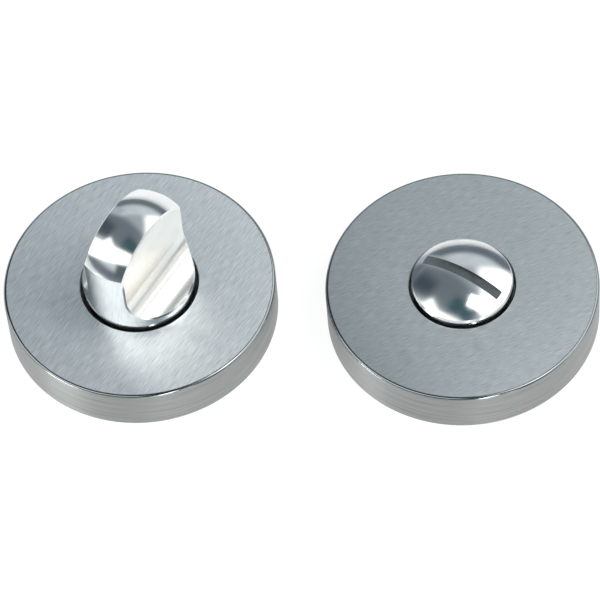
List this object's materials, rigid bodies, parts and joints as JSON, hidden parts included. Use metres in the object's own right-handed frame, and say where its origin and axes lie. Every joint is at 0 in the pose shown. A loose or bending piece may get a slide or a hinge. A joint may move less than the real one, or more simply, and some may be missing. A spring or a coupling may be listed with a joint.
{
  "type": "bathroom thumb turn lock",
  "caption": "Thumb turn rose with square spindle and matching emergency release rose with coin slot, round satin covers, for a bathroom door.",
  "frame": {"origin": "on the thumb turn's axis, in the plane of the door's face that both roses sit on", "axes": "+Z out of the door, +X from the thumb turn's axis to the release's axis, both halves laid side by side face up; the grip and the slot's normal lie 60 degrees from +X at rest"},
  "size_m": [0.1135, 0.052, 0.0753],
  "materials": {
    "satin_stainless": "satin brushed, fine straight grain",
    "polished_stainless": "polished",
    "cast_zinc": "as cast, matt grey",
    "spring_steel": "oiled, dark",
    "bright_steel": "bright zinc plated",
    "bearing_nylon": "moulded, off-white"
  },
  "bodies": {
    "roses": {"turn_rose_cover": "satin_stainless", "turn_base_plate": "cast_zinc", "turn_snap_ring": "spring_steel", "turn_bearing_bush": "bearing_nylon", "turn_fixing_bolts": "bright_steel", "release_rose_cover": "satin_stainless", "release_base_plate": "cast_zinc", "release_snap_ring": "spring_steel", "release_bearing_bush": "bearing_nylon", "release_sleeve_nuts": "bright_steel"},
    "thumb_turn": {"turn_knob": "polished_stainless", "turn_grub_screw": "spring_steel", "turn_spindle": "bright_steel", "turn_wave_washer": "spring_steel", "turn_stop_washer": "bright_steel", "turn_retaining_ring": "spring_steel"},
    "release_turn": {"release_head": "polished_stainless", "release_wave_washer": "spring_steel", "release_stop_washer": "bright_steel", "release_retaining_ring": "spring_steel"}
  },
  "joints": [
    {"name": "thumb_turn_pivot", "type": "hinge", "parent": "roses", "child": "thumb_turn", "pos_m": [0, 0, 0], "axis": [0, 0, 1], "range_deg": [-90, 0]},
    {"name": "release_pivot", "type": "hinge", "parent": "roses", "child": "release_turn", "pos_m": [0.0615, 0, 0], "axis": [0, 0, 1], "range_deg": [0, 90]}
  ]
}
